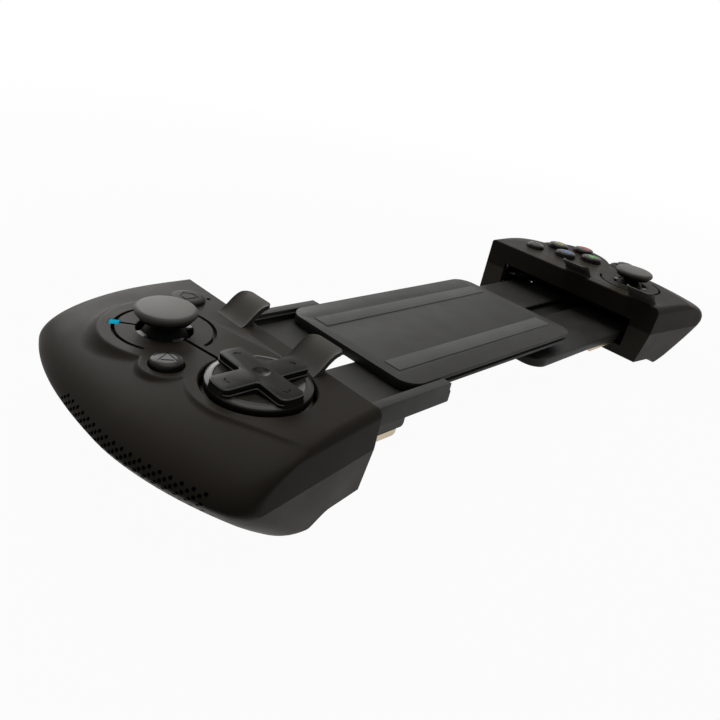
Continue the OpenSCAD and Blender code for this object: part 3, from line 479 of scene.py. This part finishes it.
def front_cover(side):
    """Deck, shoulder and inner skin of one grip in a single wall, before its holes are cut."""
    inner = [shell_ring(z, SKIN) for z in WIDE + 6.6 * np.sin(np.linspace(math.pi / 2, 0, 16))]
    inner += [shell_ring(SEAM, SKIN)]
    outer = [shell_ring(SEAM, 0.05), shell_ring(SEAM + 0.05, 0), shell_ring(16.8, 0)]
    rise = WIDE + 8.8 * np.sin(np.linspace(0, math.pi / 2, 130))
    outer += [with_platforms(shell_ring(z, 0), side) for z in rise]
    name = ("right" if side > 0 else "left") + "_front_shell"
    cover = wrapped(name, [placed(r, side) for r in inner + outer])
    cover.data.materials.append(soft_touch)
    combine(cover, pits([(0, 19.85), (1, 19.18), (2, 18.5), (3, 17.8), (4, 17.05)], side))
    return cover


def rear_hull(side):
    """Hull with its inner skin, screw bosses, raised inner floor, slot, window and screw pockets."""
    inner = [shell_ring(z, SKIN) for z in np.linspace(5, SEAM, 14)]
    outer = [shell_ring(SEAM, 0.05), shell_ring(SEAM - 0.05, 0)]
    outer += [shell_ring(z, 0) for z in np.linspace(15.6, FOOT, 30)]
    outer += [shell_ring(FOOT - FOOT * math.sin(a), 0) for a in np.linspace(0, math.pi / 2, 14)[1:]]
    name = ("right" if side > 0 else "left") + "_rear_shell"
    hull = wrapped(name, [placed(r, side) for r in inner + outer])
    hull.data.materials.append(hull_black)
    spots = ((5, -34.2, 4.0, 3.0), (31.5, 32.4, 8.0, 0.0), (42, -24, 11.5, 3.0), (42, 24, 11.5, 3.0))
    lid = SEAM - 0.03
    bosses = as_one([turned("boss", [(0, seat - 2), (2.6, seat - 2), (2.6, lid), (0, lid)], u, y, side, 40)
                     for u, y, seat, low in spots])
    core = [shell_ring(z, 0.3) for z in np.linspace(SEAM + 0.5, 0.6, 32)]
    combine(bosses, wrapped("hull_core", [placed(r, side) for r in core]), "INTERSECT")
    combine(hull, bosses, "UNION")
    s = np.linspace(0, 1, 25)
    slope = [(10.5 + 8 * t, 3 * (1 + math.cos(math.pi * t)) / 2) for t in s]
    step = [(-1, -1), (-1, 3)] + slope + [(18.6, -1)]
    combine(hull, wrapped("step", [placed([(u, y, z) for u, z in step], side) for y in (-50, 44)]))
    combine(hull, as_one([box_cut("slot", (-1, -30.2, 6.6), (4, 30.2, 20), side),
                          box_cut("window", (11.3, 36.4, 8.0), (26.4, 42, 14.6), side)]))
    pockets = []
    for u, y, seat, low in spots:
        profile = [(0, -1), (2.4, -1), (2.1, 0.3 + low), (2.1, seat + 1.5), (1.1, seat + 1.5),
                   (1.1, SEAM + 1), (0, SEAM + 1)]
        pockets.append(turned("pocket", profile, u, y, side, 40))
    combine(hull, as_one(pockets), crossing=True)
    combine(hull, pits([(7, 15.0), (8, 14.3), (9, 13.6)], side))
    return hull


def stick_tabs(centre, side):
    """Four small tabs that close in on the stick's dome at the rim of its hole, in light grey as a painted
    highlight of the light their faces catch.
    """
    tabs = []
    sections = ((5.35, 1.3, 25.9, 26.15), (5.6, 1.5, 25.85, 26.36), (7.2, 1.7, 25.7, 26.44))
    for turn in range(4):
        c, s = (1, 0, -1, 0)[turn], (0, 1, 0, -1)[turn]
        rows = [[(centre[0] + r * c - v * s, centre[1] + r * s + v * c, z) for v, z in
                 ((-half, low), (half, low), (half, high), (-half, high))]
                for r, half, low, high in sections]
        tabs.append(wrapped("tab", [placed(r, side) for r in rows]))
        tabs[-1].data.materials.append(tab_painted_highlight)
    return as_one(tabs)


left_front = front_cover(-1)
combine(left_front, as_one([clip("clip", y, -1) for y in (-21.2, 6.7)]), "UNION")
home_dish = [(0, 20), (5.0, 20), (5.0, DECK - 0.75), (5.15, DECK - 0.6), (5.8, DECK - 0.58),
             (6.9, DECK - 0.14), (7.5, DECK + 0.02), (7.8, DECK + 0.5), (0, DECK + 0.5)]
well = [(0, 23.1), (13.3, 23.1), (13.3, DECK - 0.3), (14.1, DECK + 0.5), (0, DECK + 0.5)]
combine(left_front, as_one([turned("well", well, *PAD, -1, 128), hole("stick_hole", STICK, 6.8, -1),
                            hole("small_hole", SMALL, 4.0, -1), turned("dish", home_dish, *HOME, -1, 96),
                            hole("pinhole", (3.2, 24.8), 0.6, -1, 23.0, 0.05)]))
combine(left_front, stick_tabs(STICK, -1), "UNION")
combine(left_front, as_one([groove("ring", STICK, 12, -37, 33.6, -1),
                            groove("ring", STICK, 12, 46.4, 251, -1)]))
glow = math.radians(40)


def from_stick(r):
    """A place on the line from the left stick through the status light."""
    return np.array(STICK) + np.array([math.cos(glow), math.sin(glow)]) * r


combine(left_front, bar("light_pocket", from_stick(10.7), from_stick(13.3), 2.6, 22, 28, -1))
combine(left_front, as_one([bar("line_a", from_stick(6.6), from_stick(10.8), 0.85, 25.2, 28, -1),
                            bar("line_b", (22.1, 7.0), (20.1, -5.2), 0.95, 25.2, 28, -1)]))
combine(left_front, as_one([box_cut("bumper_window", (11.3, 35, 17.2), (25.9, 42, 22.4), -1),
                            box_cut("socket_window", (2.7, 35, 19.7), (10.3, 42, 22.7), -1)]))
combine(left_front, box_cut("slot", (-1, -30.2, 15), (4, 30.2, 18.5), -1))
dress(left_front, "left_grip", None, "front_shell", "left_front_cover", angle=38)

right_front = front_cover(1)
combine(right_front, as_one([clip("clip", y, 1) for y in (-35.3, -7.0)]), "UNION")
face_spots = [(FACES[0] + 8.4 * math.cos(math.radians(a)), FACES[1] + 8.4 * math.sin(math.radians(a)))
              for a in (90, 0, 180, 270)]
bores = [(PAD, 6.8), (START, 4.0), (MENU, 4.0)] + [(spot, 4.6) for spot in face_spots]
combine(right_front, as_one([hole("round_hole", spot, r, 1) for spot, r in bores]))
combine(right_front, stick_tabs(PAD, 1), "UNION")
combine(right_front, groove("ring", PAD, 12, 105, 335, 1))
combine(right_front, box_cut("bumper_window", (11.3, 35, 17.2), (25.9, 42, 22.4), 1))
combine(right_front, box_cut("slot", (-1, -30.2, 15), (4, 30.2, 18.5), 1))
dress(right_front, "right_grip", None, "front_shell", "right_front_cover", angle=38)
dress(rear_hull(-1), "left_grip", None, "rear_shell", "left_rear_cover", angle=38)
dress(rear_hull(1), "right_grip", None, "rear_shell", "right_rear_cover", angle=38)

# ---- Status light ------------------------------------------------------------------------------
# A small square light guide of blue-green tinted acrylic, pressed into the deck beside the stick.
# Its face stands level with the deck and scatters the light of a diode on the board.

light_tint = surface("light_tint", (0.007, 0.33, 0.48), (0.010, 0.43, 0.61), 0.4, scale=1200, bump=0.05,
                     specular=0.0)
guide = bar("status_guide", from_stick(10.8), from_stick(13.2), 2.4, 23.3, DECK, -1)
round_edges(guide, 0.15)
dress(guide, "left_grip", light_tint, "light", "status_light")

# ---- Thumbsticks -------------------------------------------------------------------------------
# A round cap of grey rubber with a rolled rim sits on a black collar, over a dark nylon dome that
# closes the hole in the deck as the stick tilts. The cap is pushed on the post.

cap_rubber = surface("cap_rubber", (0.087, 0.084, 0.076), (0.117, 0.113, 0.103), 0.55, 0.05, 2600, 0.25,
                     specular=0.15)
# A darker copy of the cap rubber for the rolled rim past the crease: painted shade where the rim turns away
# from the light.
cap_edge = surface("cap_edge", (0.048, 0.0455, 0.0403), (0.066, 0.0628, 0.056), 0.5, 0.05, 2600, 0.2,
                   specular=0.12)
dome_nylon = surface("dome_nylon", (0.011, 0.0104, 0.0093), (0.017, 0.0161, 0.0146), 0.45, scale=2400,
                     specular=0.02)
rim = [(0, 30.35), (6.4, 30.35), (6.9, 30.4), (7.2, 30.54), (7.4, 30.78), (7.5, 31.1), (7.49, 31.4),
       (7.41, 31.68), (7.26, 31.92), (7.06, 32.09), (6.86, 32.17), (6.78, 32.2), (6.72, 32.27), (6.4, 32.34),
       (5.6, 32.45), (4.2, 32.56), (2.5, 32.65), (0.9, 32.69), (0, 32.695)]
collar = [(0, 28.87), (5.2, 28.87), (5.7, 29.02), (6.15, 29.24), (6.38, 29.42), (6.46, 29.7),
          (6.46, 30.35), (0, 30.35)]
crease = 6.76
for name, spot, side in (("left", STICK, -1), ("right", PAD, 1)):
    for part, profile, finishes in (("_cap", rim, (cap_rubber, cap_edge)),
                                    ("_collar", collar, (dome_nylon,))):
        piece = turned(name + part, profile, *spot, side, 96)
        for finish in finishes:
            piece.data.materials.append(finish)
        # Faces of the cap past the crease take the darker copy, the painted shade of the rim.
        for face in piece.data.polygons:
            out = math.hypot(face.center[0] - side * MM * (G + spot[0]), face.center[1] - MM * spot[1])
            face.material_index = int(part == "_cap" and out > crease * MM)
        combine(piece, turned("bore", [(0, 28), (1.25, 28), (1.25, 31.05), (0, 31.05)], *spot, side, 32))
        dress(piece, name + "_stick", None, "stick_cap", *[name + "_stick_cap"][:part == "_cap"])
    lean = [math.radians(a) for a in np.linspace(16, 79, 18)]
    dome = [(6.3 * math.cos(a), 22.5 + 6.3 * math.sin(a)) for a in lean]
    under = [(5.4 * math.cos(a), 22.5 + 5.4 * math.sin(a)) for a in lean[::-1]]
    root, stem = [(0, 21.6), (1.2, 21.6), (1.2, 27.7)], [(1.2, 28.9), (1.2, 31.0), (0, 31.0)]
    post = turned(name + "_post", root + under + dome + stem, *spot, side, 64)
    dress(post, name + "_stick", dome_nylon, "stick_post", name + "_stick_post")

# ---- Direction pad -----------------------------------------------------------------------------
# A glossy black moulding: a round dish with a raised cross, whose arms run out to the rim. It rocks
# on a spider in a deep well. Small arrows are pressed into the arms and a dimple marks the middle.

gloss_black = surface("gloss_black", (0.011, 0.0098, 0.0074), (0.016, 0.0143, 0.0109), 0.22, 0.05, 1500, 0.03,
                      specular=0.09)
pad_black = surface("pad_black", (0.011, 0.0102, 0.0084), (0.017, 0.0158, 0.0131), 0.27, 0.05, 1500, 0.03,
                    specular=0.04)
# A lighter copy of the pad's black for its dish and rim: painted sheen where they catch the light.
pad_dish_painted_sheen = surface("pad_dish_painted_sheen", (0.018, 0.0164, 0.013), (0.026, 0.0238, 0.019), 0.26, 0.05, 1500, 0.03,
                  specular=0.14)
pad_edge = surface("pad_edge", (0.008, 0.0076, 0.0068), (0.014, 0.0134, 0.0122), 0.18, 0.04, 1500, 0.02,
                   specular=0.4)
top = DECK + 3.1
dish = [(0, DECK - 1.5), (11.9, DECK - 1.5), (12.2, DECK - 1.2), (12.2, DECK + 0.55), (12.05, DECK + 0.85),
        (11.75, DECK + 1.02), (10.6, DECK + 1.3), (10.35, DECK + 1.28), (10.2, DECK + 1.15),
        (7.5, DECK + 0.75), (4.0, DECK + 0.35), (0, DECK + 0.2)]
pad = turned("pad", dish, *PAD, -1, 144)


def cross(half, reach, low, high, draft, edge):
    """A plus sign with rounded corners and ends on a circle. Polished faces roll off its top edge."""
    levels = [(low, 0), (high - edge, draft)]
    levels += [(high - edge + edge * math.sin(a), draft + edge * (1 - math.cos(a)))
               for a in np.radians((22, 45, 68, 90))]
    rings = []
    for z, inset in levels:
        corner = max(0.4, 1.2 - inset)
        v = (half - inset) * np.sin(np.linspace(-math.pi / 2, math.pi / 2, 25))
        past = np.maximum(0, np.abs(v) - half + inset + corner)
        end = np.sqrt((reach - inset) ** 2 - v * v) - corner + np.sqrt(np.maximum(0, corner**2 - past**2))
        a, fillet = np.linspace(math.pi / 2, 0, 5), 0.5 + inset
        inside = half - inset + fillet * (1 - np.column_stack([np.cos(a), np.sin(a)]))
        arm = np.concatenate([np.column_stack([end, v]), inside])
        points = []
        for turn in range(4):
            c, s = (1, 0, -1, 0)[turn], (0, 1, 0, -1)[turn]
            points += [(x * c - v * s, x * s + v * c) for x, v in arm]
        rings.append([(-G - PAD[0] + x, PAD[1] + v, z) for x, v in points])
    piece = wrapped("cross", rings)
    piece.data.materials.append(pad_black)
    piece.data.materials.append(pad_edge)
    for face in piece.data.polygons:
        face.material_index = int(0.05 < face.normal[2] < 0.97)
    return piece


for finish in (pad_black, pad_edge, pad_dish_painted_sheen):
    pad.data.materials.append(finish)
# Dish and rim faces away from the middle take the lighter copy, the painted sheen.
for face in pad.data.polygons:
    out = math.hypot(face.center[0] + MM * (G + PAD[0]), face.center[1] - MM * PAD[1])
    face.material_index = 2 * int(out > 4 * MM and face.center[2] > MM * (DECK + 0.3))
ledge = cross(3.75, 12.1, DECK - 0.5, DECK + 1.75, 0.06, 0.14)
arms = cross(3.35, 12.15, DECK - 0.4, top, 0.1, 0.32)
combine(pad, ledge, "UNION")
combine(pad, arms, "UNION")
dimple = [(0, top - 0.52), (0.7, top - 0.49), (1.3, top - 0.4), (1.75, top - 0.25), (2.1, top),
          (2.4, top + 0.3), (0, top + 0.3)]
combine(pad, turned("dimple", dimple, *PAD, -1, 64))
arrows = []
for turn in range(4):
    a = math.radians(90 * turn)
    out, across = np.array([math.cos(a), math.sin(a)]), np.array([-math.sin(a), math.cos(a)])
    tip = np.array(PAD) + out * 9.9
    wing = [tip, tip - out * 0.9 + across * 1.0, tip - out * 1.2 + across * 0.85, tip - out * 0.45,
            tip - out * 1.2 - across * 0.85, tip - out * 0.9 - across * 1.0]
    arrows.append(prism("arrow", wing, top - 0.22, top + 1, -1))
combine(pad, as_one(arrows))
combine(pad, turned("pocket", [(0, 24), (3.6, 24), (3.6, DECK + 0.1), (0, DECK + 0.1)], *PAD, -1, 48))
dress(pad, "direction_pad", None, "gloss_black", "direction_pad")

# ---- Round buttons -----------------------------------------------------------------------------
# Glossy black caps with a domed top and a flange that keeps them under the deck. The two small ones
# carry a pressed triangle, home a pressed house, menu three bars, and the face buttons a digit.


def button(name, spot, r, height, side):
    """A domed cap with its flange under the deck."""
    z = DECK + height
    profile = [(0, 23.2), (r + 0.7, 23.2), (r + 0.7, 24.0), (r, 24.0), (r, z - 0.75), (r - 0.06, z - 0.52),
               (r - 0.22, z - 0.33), (r - 0.5, z - 0.18), (r - 1.0, z - 0.07), (r - 1.7, z - 0.015), (0, z)]
    return turned(name, profile, *spot, side, 72)


def pressed(piece, spot, outline, z, side, deep=0.16):
    """Presses one mark, an outline round the middle of a button, into its top."""
    points = [(spot[0] + side * x, spot[1] + v) for x, v in outline]
    combine(piece, prism("mark", points, z - deep, z + 0.6, side))


def strokes(points, width):
    """A closed line as bars of some width, one for each side."""
    lines = []
    for a, b in zip(np.array(points, float), np.roll(np.array(points, float), -1, axis=0)):
        along = (b - a) / np.linalg.norm(b - a) * width / 2
        across = np.array([-along[1], along[0]])
        lines.append([a - along - across, b + along - across, b + along + across, a - along + across])
    return lines


home_black = surface("home_black", (0.020, 0.0178, 0.0142), (0.028, 0.025, 0.020), 0.45, 0.05, 2600, 0.1,
                     specular=0.04)
triangle = [(-2.0, 0), (1.2, 1.8), (1.2, -1.8)]
house = [(-1.9, -1.8), (1.9, -1.8), (1.9, 0.4), (0, 2.2), (-1.9, 0.4)]
bars = [[(-1.7, v - 0.22), (1.7, v - 0.22), (1.7, v + 0.22), (-1.7, v + 0.22)] for v in (-1.2, 0, 1.2)]
for name, spot, r, height, side, marks, material in (
        ("back", SMALL, 3.7, 1.6, -1, strokes(triangle, 0.5), gloss_black),
        ("start", START, 3.7, 1.6, 1, strokes([(-x, v) for x, v in triangle], 0.5), gloss_black),
        ("home", HOME, 4.7, 1.2, -1, strokes(house, 0.5), home_black),
        ("menu", MENU, 3.7, 1.6, 1, bars, gloss_black)):
    piece = button(name, spot, r, height, side)
    for mark in marks:
        pressed(piece, spot, mark, DECK + height, side)
    dress(piece, name + "_button", material, "gloss_black", name + "_button")

inks = {"far": (0.72, 0.60, 0.03), "outer": (0.72, 0.05, 0.03), "inner": (0.06, 0.21, 0.62),
        "near": (0.12, 0.60, 0.06)}
for (name, ink), spot, digit in zip(inks.items(), face_spots, "1234"):
    piece = button(name, spot, 4.3, 2.0, 1)
    dress(piece, name + "_button", gloss_black, "gloss_black", name + "_button")
    bpy.ops.object.select_all(action="DESELECT")
    bpy.ops.object.text_add()
    mark = bpy.context.object
    mark.data.body, mark.data.size, mark.data.offset = digit, 6.0 * MM, 0.12 * MM
    mark.data.align_x, mark.data.align_y = "CENTER", "CENTER"
    mark.data.extrude = 0.02 * MM
    bpy.ops.object.convert(target="MESH")
    mark = bpy.context.object
    mark.name = mark.data.name = name + "_mark"
    points = np.array([v.co for v in mark.data.vertices])
    middle = (points.max(0) + points.min(0)) / 2
    mark.location = (MM * (G + spot[0]) - middle[0], MM * spot[1] - middle[1], MM * (DECK + 2.0))
    bpy.ops.object.transform_apply(location=True, rotation=True, scale=True)
    tone = surface(name + "_ink", tuple(0.85 * c for c in ink), ink, 0.35, bump=0.05, specular=0.05)
    dress(mark, name + "_button", tone, "gloss_black")

# ---- Shoulder controls -------------------------------------------------------------------------
# On the far end of each grip a gloss bumper is pressed in and a curved trigger swings on its pin.
# Both are black plastic with softly rounded edges.

for side in ("left", "right"):
    for kind, width in (("_bumper", 0.4), ("_trigger", 0.35)):
        name = side + kind
        dress(softened(name, width, 3), name, gloss_black, "gloss_black", name)

# ---- Studio ------------------------------------------------------------------------------------
# A plain white table under soft light from above, from behind and a little from the front, and the
# camera at the photograph's place and lens.

bpy.ops.object.select_all(action="DESELECT")
bpy.ops.mesh.primitive_plane_add(size=80)
table = bpy.context.object
table.name = "table"
white = bpy.data.materials.new("white_table")
white.use_nodes = True
world = bpy.data.worlds.new("studio")
bpy.context.scene.world = world
world.use_nodes = True


def seen(tree):
    """One for what the camera, a mirror or a glass sees, and nought for light that spreads."""
    path = tree.nodes.new("ShaderNodeLightPath")
    first, both = tree.nodes.new("ShaderNodeMath"), tree.nodes.new("ShaderNodeMath")
    first.operation = both.operation = "MAXIMUM"
    tree.links.new(path.outputs["Is Camera Ray"], first.inputs[0])
    tree.links.new(path.outputs["Is Glossy Ray"], first.inputs[1])
    tree.links.new(first.outputs[0], both.inputs[0])
    tree.links.new(path.outputs["Is Transmission Ray"], both.inputs[1])
    return both.outputs[0]


nodes, link = white.node_tree.nodes, white.node_tree.links.new
shader, output = nodes["Principled BSDF"], nodes["Material Output"]
shader.inputs["Base Color"].default_value = (0.22, 0.22, 0.22, 1)
shader.inputs["Roughness"].default_value = 0.9
shader.inputs["Specular IOR Level"].default_value = 0.1
place, away = nodes.new("ShaderNodeTexCoord"), nodes.new("ShaderNodeVectorMath")
fade, share = nodes.new("ShaderNodeMapRange"), nodes.new("ShaderNodeMath")
glow_white, mix = nodes.new("ShaderNodeEmission"), nodes.new("ShaderNodeMixShader")
away.operation, share.operation = "LENGTH", "MULTIPLY"
for label, value in (("From Min", 0.15), ("From Max", 0.6), ("To Min", 0.96), ("To Max", 1.0)):
    fade.inputs[label].default_value = value
link(place.outputs["Object"], away.inputs[0])
link(away.outputs["Value"], fade.inputs["Value"])
link(fade.outputs["Result"], share.inputs[0])
link(seen(white.node_tree), share.inputs[1])
link(share.outputs[0], mix.inputs[0])
link(shader.outputs[0], mix.inputs[1])
link(glow_white.outputs[0], mix.inputs[2])
link(mix.outputs[0], output.inputs["Surface"])
table.data.materials.append(white)

nodes, link = world.node_tree.nodes, world.node_tree.links.new
level = nodes.new("ShaderNodeMapRange")
level.inputs["To Min"].default_value, level.inputs["To Max"].default_value = 0.06, 1.0
link(seen(world.node_tree), level.inputs["Value"])
link(level.outputs["Result"], nodes["Background"].inputs["Strength"])
nodes["Background"].inputs["Color"].default_value = (1, 1, 1, 1)


def softbox(name, place, aim, size, power):
    """A square area light that looks at a point."""
    bpy.ops.object.light_add(type="AREA", location=place)
    lamp = bpy.context.object
    lamp.name = name
    lamp.data.shape, lamp.data.size, lamp.data.energy = "SQUARE", size, power
    direction = np.array(aim) - np.array(place)
    x, y, z = direction / np.linalg.norm(direction)
    lamp.rotation_euler = (math.acos(-z), 0, math.atan2(y, x) - math.pi / 2)


softbox("top_light", (0.10, 0.15, 1.0), (-0.02, 0, 0), 0.8, 6.8)
softbox("back_light", (0.24, 1.0, 0.52), (-0.02, 0, 0), 0.7, 7.4)
softbox("front_light", (-0.35, -1.0, 0.35), (-0.05, 0, 0), 0.6, 0.4)

bpy.ops.object.camera_add(location=(-0.18517, -0.11873, 0.10277))
camera = bpy.context.object
camera.data.lens, camera.data.sensor_width = 34.5, 36.0
camera.data.clip_start = 0.005
camera.matrix_world = Matrix(((0.6968, 0.1931, -0.6908, -0.18517), (-0.6906, 0.4410, -0.5732, -0.11873),
                              (0.1940, 0.8765, 0.4406, 0.10277), (0, 0, 0, 1)))
bpy.context.scene.camera = camera
bpy.context.scene.view_settings.view_transform = "Standard"
